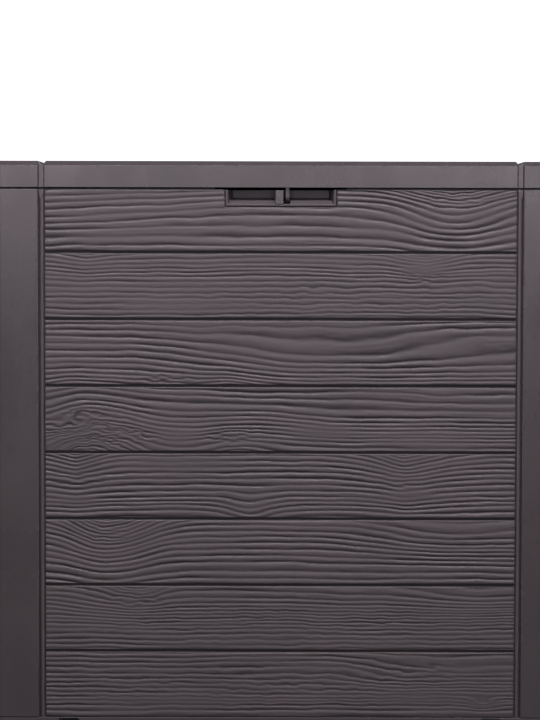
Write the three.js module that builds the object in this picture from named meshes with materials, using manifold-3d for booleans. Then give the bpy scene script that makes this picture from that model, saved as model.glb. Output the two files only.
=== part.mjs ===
// Resin deck storage box with plank panels, corner posts and a hinged lid.
// Millimetres, +Z up, front towards -Y, +X to the right seen from the front.
// Origin: centre of the bounding box's footprint, on the ground.
import * as THREE from 'three';
import { mergeVertices } from 'three/addons/utils/BufferGeometryUtils.js';
import Module from 'manifold-3d';

const wasm = await Module();
wasm.setup();

// ---------------------------------------------------------------- dimensions
const HALF_W = 288;            // half the overall width
const Y_FRONT = -220;          // front face of the posts and the lid
const Y_REAR = 213.4;          // rear face of the posts and the lid
const Y_MID = (Y_FRONT + Y_REAR) / 2;
const HALF_D = (Y_REAR - Y_FRONT) / 2;
const CORNER_R = 17;           // outer corner radius of posts, lid and base
const GAP = 0.3;               // assembly gap between touching pieces

const PLINTH_H = 5.5;          // visible edge of the base
const WALL_Z0 = PLINTH_H + GAP;
const WALL_Z1 = 522.5;         // top of posts and panels
const LID_Z0 = 524.5;          // lower edge of the lid skirt
const LID_Z1 = 550;            // top of the lid
const LID_CHAMFER = 4.6;       // chamfer round the lid's top edge
const LID_WALL = 2.8;
const LID_TOP = 3.2;

const POST_W = 52;             // post face width on both sides of a corner
const POST_SKIN = 3;
const SHEET_V0 = 3.3;          // panel sheet, depth behind the post faces
const SHEET_V1 = 5.5;
const PLANK_V = 1.0;           // plank faces, depth behind the post faces
const FLANGE_V0 = 5.8;         // inner flange of the post's panel slot
const FLANGE_V1 = 8.0;
const SLOT_END = 38;           // how far the panel tongue's slot reaches into the post
const TONGUE = 12;             // panel tongue inside the post
const MARGIN = 6.2;            // flat margin between post and plank ends

const PLANK_PITCH = 65.05;     // height of a plank with its groove
const FIRST_GROOVE = 461.35;   // groove under the top plank
const GROOVE_W = 2.4;          // V groove between planks, width at the face
const PLANK_COUNT = 8;

const CHANNEL_X0 = 229.6;      // channels in the lid, in line with the post seams
const CHANNEL_X1 = 236.4;
const CHANNEL_D = 2.6;
const CHANNEL_TOP_D = 3.6;

const SCOOP_HALF = 54;         // finger recess
const SCOOP_Z0 = 506.4;
const EYE_Y = Y_FRONT + 9.5;   // padlock hole axis, along X
const EYE_Z = 516.2;
const EYE_R = 3.7;

const HINGE_X = 150;           // hinge centres
const HINGE_Y = 213.7;         // hinge axis
const HINGE_Z = 523.5;
const BARREL_R = 6.3;
const BORE_R = 2.8;
const PIN_R = 2.4;
const HINGE_HALF = 30;
const KNUCKLE_HALF = 10.3;     // half length of the lid knuckle

// ------------------------------------------------------------------ materials
const shade = (name, hex, rough, metal = 0) =>
  new THREE.MeshStandardMaterial({ name, color: hex, roughness: rough, metalness: metal });
const RESIN = 0x5c555a;
const RESIN_IN = 0x4a4448;
const RESIN_DARK = 0x3a3539;

// ------------------------------------------------------------- solid building
function solidOf(geometry) {
  const g = geometry.clone();
  g.deleteAttribute('normal');
  g.deleteAttribute('uv');
  const m = mergeVertices(g, 1e-4);
  return new wasm.Manifold(new wasm.Mesh({
    numProp: 3,
    vertProperties: new Float32Array(m.attributes.position.array),
    triVerts: new Uint32Array(m.index.array),
  }));
}
function geometryOf(solid) {
  const mesh = solid.getMesh();
  const g = new THREE.BufferGeometry();
  g.setAttribute('position', new THREE.BufferAttribute(new Float32Array(mesh.vertProperties), 3));
  g.setIndex(new THREE.BufferAttribute(new Uint32Array(mesh.triVerts), 1));
  g.computeVertexNormals();
  return g;
}
const V = (x, y, z) => new THREE.Vector3(x, y, z);
function box(x0, x1, y0, y1, z0, z1) {
  const g = new THREE.BoxGeometry(x1 - x0, y1 - y0, z1 - z0);
  g.translate((x0 + x1) / 2, (y0 + y1) / 2, (z0 + z1) / 2);
  return solidOf(g);
}
function outline(points) {
  const area = THREE.ShapeUtils.area(points.map((p) => new THREE.Vector2(p[0], p[1])));
  const pts = area < 0 ? [...points].reverse() : points;
  return new THREE.Shape(pts.map((p) => new THREE.Vector2(p[0], p[1])));
}
// A prism of a closed outline. along 'z': outline is (x, y); along 'x': (y, z); along 'y': (z, x).
function prism(points, along, a, b) {
  const g = new THREE.ExtrudeGeometry(outline(points), { depth: b - a, bevelEnabled: false, steps: 1 });
  g.translate(0, 0, a);
  const m = new THREE.Matrix4();
  if (along === 'x') m.makeBasis(V(0, 1, 0), V(0, 0, 1), V(1, 0, 0));
  if (along === 'y') m.makeBasis(V(0, 0, 1), V(1, 0, 0), V(0, 1, 0));
  g.applyMatrix4(m);
  return solidOf(g);
}
function roundedRect(hw, hd, r, cy = 0, seg = 7) {
  const pts = [];
  for (const [sx, sy, a0] of [[1, 1, 0], [-1, 1, 90], [-1, -1, 180], [1, -1, 270]]) {
    for (let i = 0; i <= seg; i++) {
      const a = THREE.MathUtils.degToRad(a0 + (90 * i) / seg);
      pts.push([sx * (hw - r) + r * Math.cos(a), cy + sy * (hd - r) + r * Math.sin(a)]);
    }
  }
  return pts;
}
// A cylinder along X.
function rodX(r, x0, x1, y, z, seg = 20) {
  const g = new THREE.CylinderGeometry(r, r, x1 - x0, seg);
  g.rotateZ(Math.PI / 2);
  g.translate((x0 + x1) / 2, y, z);
  return solidOf(g);
}
function rodZ(r, z0, z1, x, y, seg = 16) {
  const g = new THREE.CylinderGeometry(r, r, z1 - z0, seg);
  g.rotateX(Math.PI / 2);
  g.translate(x, y, (z0 + z1) / 2);
  return solidOf(g);
}
function rodY(r, y0, y1, x, z, seg = 16) {
  const g = new THREE.CylinderGeometry(r, r, y1 - y0, seg);
  g.translate(x, (y0 + y1) / 2, z);
  return solidOf(g);
}
const union = (...s) => s.reduce((a, b) => a.add(b));

const root = new THREE.Group();
const bodyGroup = new THREE.Group();
const lidGroup = new THREE.Group();
root.add(bodyGroup, lidGroup);
function place(group, name, solid, material, x = 0, y = 0, z = 0, turn = 0) {
  const mesh = new THREE.Mesh(geometryOf(solid), material);
  mesh.name = name;
  mesh.position.set(x, y, z);
  mesh.rotation.z = turn;
  group.add(mesh);
  return mesh;
}

// ----------------------------------------------------------------- wall panels
// Local frame: x across the panel, y = depth behind the post faces (0 outside), z up.
const GROOVES = [];
for (let i = 0; i < PLANK_COUNT - 1; i++) GROOVES.push(FIRST_GROOVE - i * PLANK_PITCH);
const TOP_FLANGE_V = 10;
const TOP_FLANGE_Z = WALL_Z1 - 3;
function panel(halfOpening) {
  const plankHalf = halfOpening - MARGIN;
  const g = GROOVE_W / 2;
  const d = SHEET_V0 - PLANK_V;
  // vertical section through the planks, as (depth, height)
  const s = [[SHEET_V1, WALL_Z0], [SHEET_V1, WALL_Z1], [PLANK_V + 1.2, WALL_Z1], [PLANK_V, WALL_Z1 - 1.2]];
  for (const z of GROOVES) s.push([PLANK_V, z + g], [PLANK_V + d, z + 0.35], [PLANK_V + d, z - 0.35], [PLANK_V, z - g]);
  s.push([PLANK_V, WALL_Z0 + 1.2], [PLANK_V + 1.2, WALL_Z0]);
  let p = prism(s, 'x', -plankHalf, plankHalf);
  for (const k of [-1, 1]) {
    const x = plankHalf;
    p = p.subtract(prism([[k * (x - 1.3), 0.5], [k * (x + 0.6), 0.5], [k * (x + 0.6), PLANK_V + 2.2]], 'z', 0, 560));
  }
  const reach = halfOpening + TONGUE;
  p = p.add(box(-reach, reach, SHEET_V0, SHEET_V1, WALL_Z0, WALL_Z1));
  // top stiffening flange turned inwards
  p = p.add(box(-(halfOpening - 1), halfOpening - 1, SHEET_V1 - 0.5, TOP_FLANGE_V, TOP_FLANGE_Z, WALL_Z1));
  return p;
}
const FRONT_HALF = HALF_W - POST_W;
const SIDE_HALF = HALF_D - POST_W;

let front = panel(FRONT_HALF)
  .subtract(box(-SCOOP_HALF, SCOOP_HALF, -1, SHEET_V1 + 0.2, SCOOP_Z0, WALL_Z1 + 1))
  .subtract(box(-62, 62, SHEET_V1, 12, TOP_FLANGE_Z - 1, WALL_Z1 + 1));

let rear = panel(FRONT_HALF);
const SCREW_Z = [490, 506];
for (const k of [-1, 1]) {
  const c = k * HINGE_X;
  rear = rear
    .subtract(box(c - 32, c + 32, -1, 12, HINGE_Z - BARREL_R - 0.9, WALL_Z1 + 1))
    .subtract(box(c - 32, c + 32, SHEET_V1, 12, TOP_FLANGE_Z - 1, WALL_Z1 + 1));
  for (const dx of [-18, 18]) {
    rear = rear.subtract(rodY(2.1, 1.6, SHEET_V1 + 1, c + dx, 498));
  }
}
const side = panel(SIDE_HALF);

const panelMat = (n) => shade(n, RESIN, 0.55);
place(bodyGroup, 'front_panel', front, panelMat('front_panel'), 0, Y_FRONT, 0, 0);
place(bodyGroup, 'rear_panel', rear, panelMat('rear_panel'), 0, Y_REAR, 0, Math.PI);
place(bodyGroup, 'right_panel', side, panelMat('right_panel'), HALF_W, Y_MID, 0, Math.PI / 2);
place(bodyGroup, 'left_panel', side, panelMat('left_panel'), -HALF_W, Y_MID, 0, -Math.PI / 2);

// ---------------------------------------------------------------- corner posts
// Section in (u, v): distances inwards from the two outer faces.
function postSection() {
  const r = CORNER_R;
  const pts = [[POST_W - 0.9, 0]];
  const seg = 8;
  for (let i = 0; i <= seg; i++) {
    const a = Math.PI * 1.5 - (Math.PI / 2) * (i / seg);
    pts.push([r + r * Math.cos(a), r + r * Math.sin(a)]);
  }
  pts.push([0, POST_W - 0.9], [0.9, POST_W], [POST_SKIN, POST_W], [POST_SKIN, SLOT_END], [FLANGE_V0, SLOT_END],
    [FLANGE_V0, POST_W], [FLANGE_V1, POST_W], [FLANGE_V1, SLOT_END - 3], [POST_SKIN, SLOT_END - 3]);
  const q = r - POST_SKIN;
  for (let i = 0; i <= seg; i++) {
    const a = Math.PI + (Math.PI / 2) * (i / seg);
    pts.push([r + q * Math.cos(a), r + q * Math.sin(a)]);
  }
  pts.push([SLOT_END - 3, POST_SKIN], [SLOT_END - 3, FLANGE_V1], [POST_W, FLANGE_V1], [POST_W, FLANGE_V0],
    [SLOT_END, FLANGE_V0], [SLOT_END, POST_SKIN], [POST_W, POST_SKIN], [POST_W, 0.9]);
  return pts;
}
function postCap() {
  const r = CORNER_R;
  const pts = [[SLOT_END - 4, 1.5]];
  for (let i = 0; i <= 6; i++) {
    const a = Math.PI * 1.5 - (Math.PI / 2) * (i / 6);
    pts.push([r + (r - 1.5) * Math.cos(a), r + (r - 1.5) * Math.sin(a)]);
  }
  pts.push([1.5, SLOT_END - 4], [10.4, SLOT_END - 4], [10.4, 10.4], [SLOT_END - 4, 10.4]);
  return pts;
}
// The four posts are the same moulding in left and right hand.
function post(sx, sy) {
  const map = (pts) => pts.map(([u, v]) => [sx * (HALF_W - u), sy > 0 ? Y_REAR - v : Y_FRONT + v]);
  return prism(map(postSection()), 'z', WALL_Z0, WALL_Z1)
    .add(prism(map(postCap()), 'z', WALL_Z1 - 3, WALL_Z1));
}
for (const [name, sx, sy] of [['corner_post_front_left', -1, -1], ['corner_post_front_right', 1, -1],
  ['corner_post_rear_left', -1, 1], ['corner_post_rear_right', 1, 1]]) {
  place(bodyGroup, name, post(sx, sy), shade(name, RESIN, 0.45));
}

// ------------------------------------------------------------------------ base
const UP_V0 = 8.5;             // upstand ring inside the walls
const UP_V1 = 11;
let base = prism(roundedRect(HALF_W - 0.6, HALF_D - 0.6, CORNER_R, Y_MID), 'z', 0, PLINTH_H);
base = base.subtract(box(-(HALF_W - 15), HALF_W - 15, Y_FRONT + 15, Y_REAR - 15, -1, 3));
for (const x of [-180, -90, 0, 90, 180]) base = base.add(box(x - 1.5, x + 1.5, Y_FRONT + 10, Y_REAR - 10, 0.8, 4));
for (const y of [-110, 0, 105]) base = base.add(box(-(HALF_W - 10), HALF_W - 10, y - 1.5, y + 1.5, 0.8, 4));
// drain notches through the front and rear of the plinth
for (const x of [-207, 207]) {
  for (const y of [Y_FRONT, Y_REAR]) {
    base = base.subtract(prism([[-1, x - 10], [3.0, x - 10], [4.4, x - 8], [4.4, x + 8], [3.0, x + 10], [-1, x + 10]],
      'y', y - 16, y + 16));
  }
}
// The upstand ring, and lugs that back the panels.
const upstand = box(-(HALF_W - UP_V0), HALF_W - UP_V0, Y_FRONT + UP_V0, Y_REAR - UP_V0, PLINTH_H - 1, 40)
  .subtract(box(-(HALF_W - UP_V1), HALF_W - UP_V1, Y_FRONT + UP_V1, Y_REAR - UP_V1, PLINTH_H - 2, 41));
base = base.add(upstand);
for (const x of [-160, -55, 55, 160]) {
  base = base.add(box(x - 5, x + 5, Y_FRONT + FLANGE_V0, Y_FRONT + UP_V0 + 1, PLINTH_H - 1, 34));
  base = base.add(box(x - 5, x + 5, Y_REAR - UP_V0 - 1, Y_REAR - FLANGE_V0, PLINTH_H - 1, 34));
}
for (const y of [-90, 0, 90]) {
  base = base.add(box(-(HALF_W - FLANGE_V0), -(HALF_W - UP_V0 - 1), Y_MID + y - 5, Y_MID + y + 5, PLINTH_H - 1, 34));
  base = base.add(box(HALF_W - UP_V0 - 1, HALF_W - FLANGE_V0, Y_MID + y - 5, Y_MID + y + 5, PLINTH_H - 1, 34));
}
place(bodyGroup, 'base_tray', base, shade('base_tray', RESIN_DARK, 0.6));

// ---------------------------------------------------------------- finger recess
// Section of the hollow, as (y, z): vertical back wall, sloping floor, open front and top.
const SC_Y0 = Y_FRONT + 1.4;
const SC_BACK = Y_FRONT + 20;
let scoop = box(-(SCOOP_HALF - GAP), SCOOP_HALF - GAP, SC_Y0, SC_BACK + 2, SCOOP_Z0 + GAP, WALL_Z1 - GAP)
  .add(box(-60, 60, Y_FRONT + SHEET_V1 + GAP, Y_FRONT + SHEET_V1 + GAP + 2.2, 499, WALL_Z1 - GAP));
const hollow = [[SC_Y0 - 2, SCOOP_Z0 + 2.0], [SC_Y0 + 3.0, SCOOP_Z0 + 2.0], [SC_Y0 + 6.5, SCOOP_Z0 + 5.2], [SC_Y0 + 10, SCOOP_Z0 + 6.4],
  [SC_BACK - 1.5, SCOOP_Z0 + 7.0], [SC_BACK, SCOOP_Z0 + 8.5], [SC_BACK, WALL_Z1 + 2], [SC_Y0 - 2, WALL_Z1 + 2]];
// Drafted ends, as a plan outline (x, y).
const plan = prism([[-(SCOOP_HALF - 1.8), SC_Y0 - 2], [SCOOP_HALF - 1.8, SC_Y0 - 2], [SCOOP_HALF - 7.0, SC_BACK], [-(SCOOP_HALF - 7.0), SC_BACK]],
  'z', SCOOP_Z0, WALL_Z1 + 1);
scoop = scoop.subtract(prism(hollow, 'x', -(SCOOP_HALF - 1), SCOOP_HALF - 1).intersect(plan));
// seat for the body lock eye in the floor
const EYE_X0 = -5.3;
const EYE_X1 = 2.5;
scoop = scoop.subtract(box(EYE_X0 - GAP, EYE_X1 + GAP, SC_Y0 - 1, SC_Y0 + 16, SCOOP_Z0 + 1.4, SCOOP_Z0 + 16.5));
// and a lower floor beside it for the lid's eye
const LID_EYE_X0 = 4.4;
const LID_EYE_X1 = 8.2;
scoop = scoop.subtract(box(EYE_X1, LID_EYE_X1 + 0.9, SC_Y0 - 1, SC_Y0 + 16, SCOOP_Z0 + 2.0, SCOOP_Z0 + 16.5));
place(bodyGroup, 'handle_scoop', scoop, shade('handle_scoop', RESIN_IN, 0.5));

function lugSection(y0, y1, zTop, zBottom, r) {
  const pts = [[y0, zTop], [y1, zTop]];
  for (const [cy, a0] of [[y1 - r, 0], [y0 + r, -90]]) {
    for (let i = 0; i <= 4; i++) {
      const a = THREE.MathUtils.degToRad(a0 - (90 * i) / 4);
      pts.push([cy + r * Math.cos(a), zBottom + r + r * Math.sin(a)]);
    }
  }
  return pts;
}
// Body lock eye: an upright tab seated in the scoop's floor.
let eyeBody = box(EYE_X0, EYE_X1, SC_Y0 + 0.2, SC_Y0 + 15.5, SCOOP_Z0 + 1.7, WALL_Z1 - 0.7)
  .subtract(rodX(EYE_R, EYE_X0 - 1, EYE_X1 + 1, EYE_Y, EYE_Z, 20));
place(bodyGroup, 'lock_eye_body', eyeBody, shade('lock_eye_body', RESIN, 0.45));

// --------------------------------------------------------------------- hinges
const PLATE_Y0 = Y_REAR - FLANGE_V1 - 0.3;   // body leaf, flat on the inside of the rear panel
const PLATE_Y1 = Y_REAR - FLANGE_V0;
function screwY(y, x, z) {
  // pan head towards -Y, shank towards +Y
  const g = new THREE.LatheGeometry([[0, 0], [3.4, 0.4], [4, 1.1], [4, 1.9], [1.7, 1.9], [1.7, 7.4], [0.4, 8.2], [0, 8.2]]
    .map((p) => new THREE.Vector2(p[0], p[1])), 14);
  const drive = new THREE.CylinderGeometry(1.5, 1.5, 1.4, 6);
  let s = solidOf(g).subtract(solidOf(drive));
  s = geometryOf(s);
  s.translate(x, y, z);
  return solidOf(s);
}
for (const [side_, k] of [['left', -1], ['right', 1]]) {
  const c = k * HINGE_X;
  // body half: plate with two knuckles
  let bracket = box(c - HINGE_HALF, c + HINGE_HALF, PLATE_Y0, PLATE_Y1, 480, 516);
  for (const m of [-1, 1]) {
    const x0 = m < 0 ? c - HINGE_HALF : c + KNUCKLE_HALF + 0.5;
    const x1 = m < 0 ? c - KNUCKLE_HALF - 0.5 : c + HINGE_HALF;
    bracket = bracket.add(box(x0, x1, PLATE_Y0, PLATE_Y1, 515.5, HINGE_Z));
    bracket = bracket.add(box(x0, x1, PLATE_Y0, HINGE_Y, HINGE_Z - BARREL_R + 0.1, HINGE_Z - 2.9));
    bracket = bracket.add(rodX(BARREL_R, x0, x1, HINGE_Y, HINGE_Z, 24));
  }
  bracket = bracket.subtract(rodX(BORE_R, c - 40, c + 40, HINGE_Y, HINGE_Z, 20));
  for (const dx of [-18, 18]) bracket = bracket.subtract(rodY(2.1, PLATE_Y0 - 1, PLATE_Y1 + 1, c + dx, 498));
  place(bodyGroup, `hinge_bracket_${side_}`, bracket, shade(`hinge_bracket_${side_}`, RESIN_DARK, 0.5));
  for (const [tag, dx] of [['inner', -18 * k], ['outer', 18 * k]]) {
    place(bodyGroup, `bracket_screw_${side_}_${tag}`, screwY(PLATE_Y0 - 2.2, c + dx, 498),
      shade(`bracket_screw_${side_}_${tag}`, 0xa8a8aa, 0.35, 1));
  }
  // pin with a small head at each end
  const pin = union(rodX(PIN_R, c - HINGE_HALF - 1.2, c + HINGE_HALF + 1.2, HINGE_Y, HINGE_Z, 20),
    rodX(3.9, c - HINGE_HALF - 1.9, c - HINGE_HALF - 0.3, HINGE_Y, HINGE_Z, 20),
    rodX(3.9, c + HINGE_HALF + 0.3, c + HINGE_HALF + 1.9, HINGE_Y, HINGE_Z, 20));
  place(bodyGroup, `hinge_pin_${side_}`, pin, shade(`hinge_pin_${side_}`, 0x9c9c9e, 0.35, 1));

  // lid half: flat plate under the liner with one knuckle
  const LEAF_Z0 = 526.4;
  const LEAF_Z1 = 528.8;
  let leaf = box(c - HINGE_HALF, c + HINGE_HALF, 172, 204, LEAF_Z0, LEAF_Z1);
  leaf = leaf.add(box(c - KNUCKLE_HALF, c + KNUCKLE_HALF, 203, HINGE_Y - 2.9, LEAF_Z0, LEAF_Z1));
  leaf = leaf.add(rodX(BARREL_R, c - KNUCKLE_HALF, c + KNUCKLE_HALF, HINGE_Y, HINGE_Z, 24));
  leaf = leaf.subtract(rodX(BORE_R, c - 40, c + 40, HINGE_Y, HINGE_Z, 20));
  for (const dx of [-18, 18]) leaf = leaf.subtract(rodZ(2.1, LEAF_Z0 - 1, LEAF_Z1 + 1, c + dx, 186));
  place(lidGroup, `hinge_leaf_${side_}`, leaf, shade(`hinge_leaf_${side_}`, RESIN_DARK, 0.5));
  for (const [tag, dx] of [['inner', -18 * k], ['outer', 18 * k]]) {
    const s = geometryOf(screwY(0, 0, 0));
    s.rotateX(Math.PI / 2);
    s.translate(c + dx, 186, LEAF_Z0 - 2.2);
    place(lidGroup, `leaf_screw_${side_}_${tag}`, solidOf(s), shade(`leaf_screw_${side_}_${tag}`, 0xa8a8aa, 0.35, 1));
  }
}

// ------------------------------------------------------------------- lid shell
const lidBlank = new THREE.ExtrudeGeometry(outline(roundedRect(HALF_W, HALF_D, CORNER_R, Y_MID)), {
  depth: LID_Z1 - LID_Z0, bevelEnabled: true, bevelThickness: LID_CHAMFER, bevelSize: LID_CHAMFER,
  bevelOffset: -LID_CHAMFER, bevelSegments: 1,
});
lidBlank.translate(0, 0, LID_Z0 - LID_CHAMFER);
let lid = solidOf(lidBlank).subtract(box(-400, 400, -400, 400, LID_Z0 - 40, LID_Z0));
// channels: round the front, over the top and down the rear, on both sides
for (const k of [-1, 1]) {
  const x0 = CHANNEL_X0;
  const x1 = CHANNEL_X1;
  for (const [y, s] of [[Y_FRONT, 1], [Y_REAR, -1]]) {
    lid = lid.subtract(prism([[k * x1, y - s * 2], [k * x1, y], [k * (x1 - 1.2), y + s * CHANNEL_D], [k * (x0 + 1.1), y + s * CHANNEL_D],
      [k * x0, y], [k * x0, y - s * 2]], 'z', LID_Z0 - 5, LID_Z1 + 5));
  }
  lid = lid.subtract(prism([[LID_Z1 + 2, k * x1], [LID_Z1, k * x1], [LID_Z1 - CHANNEL_TOP_D, k * (x1 - 4.2)],
    [LID_Z1 - CHANNEL_TOP_D, k * (x0 + 1.4)], [LID_Z1, k * (x0 - 1.2)], [LID_Z1 + 2, k * (x0 - 1.2)]], 'y', -400, 400));
}
// hollow underside, stepped in behind the channels
const lidIn = (hw0, hw1, v, z1) => box(hw0, hw1, Y_FRONT + v, Y_REAR - v, LID_Z0 - 2, z1);
lid = lid.subtract(lidIn(-(CHANNEL_X0 - 4.5), CHANNEL_X0 - 4.5, LID_WALL, LID_Z1 - LID_TOP))
  .subtract(prism(roundedRect(HALF_W - 5.5, HALF_D - CHANNEL_D - 2.9, 12, Y_MID), 'z', LID_Z0 - 2, LID_Z1 - CHANNEL_TOP_D - 3));
for (const k of [-1, 1]) {
  const a = k * (CHANNEL_X1 + 3);
  const b = k * (HALF_W - LID_WALL);
  const block = box(Math.min(a, b), Math.max(a, b), Y_FRONT + LID_WALL, Y_REAR - LID_WALL, LID_Z0 - 2, LID_Z1 - LID_TOP - 1.6)
    .intersect(prism(roundedRect(HALF_W - LID_WALL, HALF_D - LID_WALL, CORNER_R - LID_WALL, Y_MID), 'z', LID_Z0 - 3, LID_Z1));
  lid = lid.subtract(block);
  // room for the hinge barrels in the rear skirt
  const c = k * HINGE_X;
  lid = lid.subtract(box(c - 33, c + 33, Y_REAR - LID_WALL - 1, Y_REAR + 1, LID_Z0 - 1, HINGE_Z + BARREL_R + 1.1));
}
place(lidGroup, 'lid_shell', lid, shade('lid_shell', RESIN, 0.45));

// ------------------------------------------------------------------- lid liner
const LINER_Z0 = 529.1;
const LINER_Z1 = 531.3;
const LIP_V0 = 11.2;
const LIP_V1 = 13.2;
const LIP_Z0 = 519;
let liner = prism(roundedRect(HALF_W - 7, (Y_REAR - Y_FRONT - 13.6) / 2, 11, (Y_FRONT + Y_REAR - 1.2) / 2, 4), 'z', LINER_Z0, LINER_Z1);
// ribs towards the shell
for (const x of [-200, -100, 0, 100, 200]) liner = liner.add(box(x - 1.1, x + 1.1, Y_FRONT + 9, Y_REAR - 9, LINER_Z1 - 0.5, 542.5));
for (const y of [-140, -3, 134]) liner = liner.add(box(-(HALF_W - 10), HALF_W - 10, y - 1.1, y + 1.1, LINER_Z1 - 0.5, 542.5));
// shallow stiffening beads on the visible underside
for (const x of [-220, -132, -44, 44, 132, 220]) liner = liner.add(box(x - 30, x + 30, -160, 140, LINER_Z0 - 1.6, LINER_Z0 + 0.5));
// rain lip hanging inside the walls, open at the recess and the hinges
let lip = box(-(HALF_W - LIP_V0), HALF_W - LIP_V0, Y_FRONT + LIP_V0, Y_REAR - LIP_V0, LIP_Z0, LINER_Z0 + 0.5)
  .subtract(box(-(HALF_W - LIP_V1), HALF_W - LIP_V1, Y_FRONT + LIP_V1, Y_REAR - LIP_V1, LIP_Z0 - 1, LINER_Z0 + 1))
  .subtract(box(-64, 64, Y_FRONT, Y_FRONT + 30, LIP_Z0 - 1, LINER_Z0));
for (const k of [-1, 1]) lip = lip.subtract(box(k * HINGE_X - 34, k * HINGE_X + 34, 150, Y_REAR, LIP_Z0 - 1, LINER_Z0));
liner = liner.add(lip);
// rest pads over the post caps
for (const sx of [-1, 1]) {
  for (const [y0, y1] of [[Y_FRONT + 7, Y_FRONT + 10], [Y_REAR - 10.4, Y_REAR - 7.6]]) {
    const a = sx * (HALF_W - 13);
    const b = sx * (HALF_W - 32);
    liner = liner.add(box(Math.min(a, b), Math.max(a, b), y0, y1, WALL_Z1 + GAP, LINER_Z0 + 0.5));
  }
  // bosses for the hinge leaf screws
  for (const dx of [-18, 18]) {
    const x = sx * HINGE_X + dx;
    liner = liner.add(rodZ(4.5, LINER_Z0, 540, x, 186, 16));
    liner = liner.subtract(rodZ(2.1, LINER_Z0 - 3, 536, x, 186, 16));
  }
}
place(lidGroup, 'lid_liner', liner, shade('lid_liner', RESIN_IN, 0.55));

// Lid lock eye: a thin tab hanging from the liner beside the body's tab.
let eyeLid = prism(lugSection(Y_FRONT + 3.6, Y_FRONT + 15.4, LINER_Z0 - GAP, 510.6, 4.6), 'x', LID_EYE_X0, LID_EYE_X1)
  .add(box(LID_EYE_X0 - 8, LID_EYE_X1 + 8, Y_FRONT + 3.6, Y_FRONT + 15.4, LINER_Z0 - GAP - 2, LINER_Z0 - GAP))
  .subtract(rodX(EYE_R, LID_EYE_X0 - 1, LID_EYE_X1 + 1, EYE_Y, EYE_Z, 20));
place(lidGroup, 'lock_eye_lid', eyeLid, shade('lock_eye_lid', RESIN, 0.45));

export default root;
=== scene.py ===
"""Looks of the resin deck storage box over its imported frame: wood-grain plank panels, smooth posts, lid and fittings."""

import math

import bpy
import numpy as np
from mathutils import Matrix, Vector


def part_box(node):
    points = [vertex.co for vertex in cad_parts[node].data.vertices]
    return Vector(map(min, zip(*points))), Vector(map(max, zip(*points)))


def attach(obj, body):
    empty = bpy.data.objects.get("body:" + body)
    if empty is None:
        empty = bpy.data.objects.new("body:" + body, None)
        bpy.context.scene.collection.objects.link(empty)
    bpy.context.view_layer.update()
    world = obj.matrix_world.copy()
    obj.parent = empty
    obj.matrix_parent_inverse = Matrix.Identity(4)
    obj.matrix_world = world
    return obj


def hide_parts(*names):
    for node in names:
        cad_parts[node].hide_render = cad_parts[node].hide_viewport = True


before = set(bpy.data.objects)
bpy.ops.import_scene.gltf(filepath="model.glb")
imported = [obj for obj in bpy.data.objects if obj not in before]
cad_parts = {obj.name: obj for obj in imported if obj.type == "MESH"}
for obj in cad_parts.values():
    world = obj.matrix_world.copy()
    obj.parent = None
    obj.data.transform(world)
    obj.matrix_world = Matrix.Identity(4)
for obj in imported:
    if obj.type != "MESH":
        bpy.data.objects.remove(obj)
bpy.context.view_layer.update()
MM = 0.001


# ------------------------------------------------------------------ frame sizes
def mm_box(node):
    lo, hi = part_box(node)
    return [c / MM for c in lo], [c / MM for c in hi]


post_lo, post_hi = mm_box("corner_post_front_right")
rear_lo, rear_hi = mm_box("corner_post_rear_left")
panel_lo, panel_hi = mm_box("front_panel")
lid_lo, lid_hi = mm_box("lid_shell")
scoop_lo, scoop_hi = mm_box("handle_scoop")
Y_FRONT = post_lo[1]
Y_REAR = rear_hi[1]
Y_MID = (Y_FRONT + Y_REAR) / 2
HALF_W = post_hi[0]
OPEN_X = post_lo[0]                       # half opening between the posts, front and rear
OPEN_Y = (Y_REAR - Y_FRONT) / 2 - (post_hi[1] - post_lo[1])
Z0, Z1 = panel_lo[2], panel_hi[2]
MARGIN = 6.2
SHEET_V0, SHEET_V1, FACE_V = 3.3, 5.5, panel_lo[1] - Y_FRONT
PITCH, GROOVE = 65.05, 2.1
FIRST_GROOVE = Z1 - 61.15
SCOOP_X = scoop_half = 54.0
SCOOP_T = 16.1                            # depth of the recess below the wall's top
HINGES = [sum(c[0] for c in mm_box("hinge_leaf_" + s)) / 2 for s in ("left", "right")]


# ------------------------------------------------------------------------ noise
_lattices = {}


def vnoise(u, v, seed):
    """Smooth value noise, -1..1."""
    if seed not in _lattices:
        _lattices[seed] = np.random.default_rng(1000 + seed).random((256, 256))
    a = _lattices[seed]
    u, v = np.broadcast_arrays(np.asarray(u, float), np.asarray(v, float))
    i, j = np.floor(u).astype(int), np.floor(v).astype(int)
    fu, fv = u - i, v - j
    fu, fv = fu * fu * fu * (fu * (fu * 6 - 15) + 10), fv * fv * fv * (fv * (fv * 6 - 15) + 10)
    i0, i1, j0, j1 = i & 255, (i + 1) & 255, j & 255, (j + 1) & 255
    top = a[i0, j0] * (1 - fu) + a[i1, j0] * fu
    low = a[i0, j1] * (1 - fu) + a[i1, j1] * fu
    return (top * (1 - fv) + low * fv) * 2 - 1


def sstep(x):
    x = np.clip(x, 0, 1)
    return x * x * (3 - 2 * x)


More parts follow.
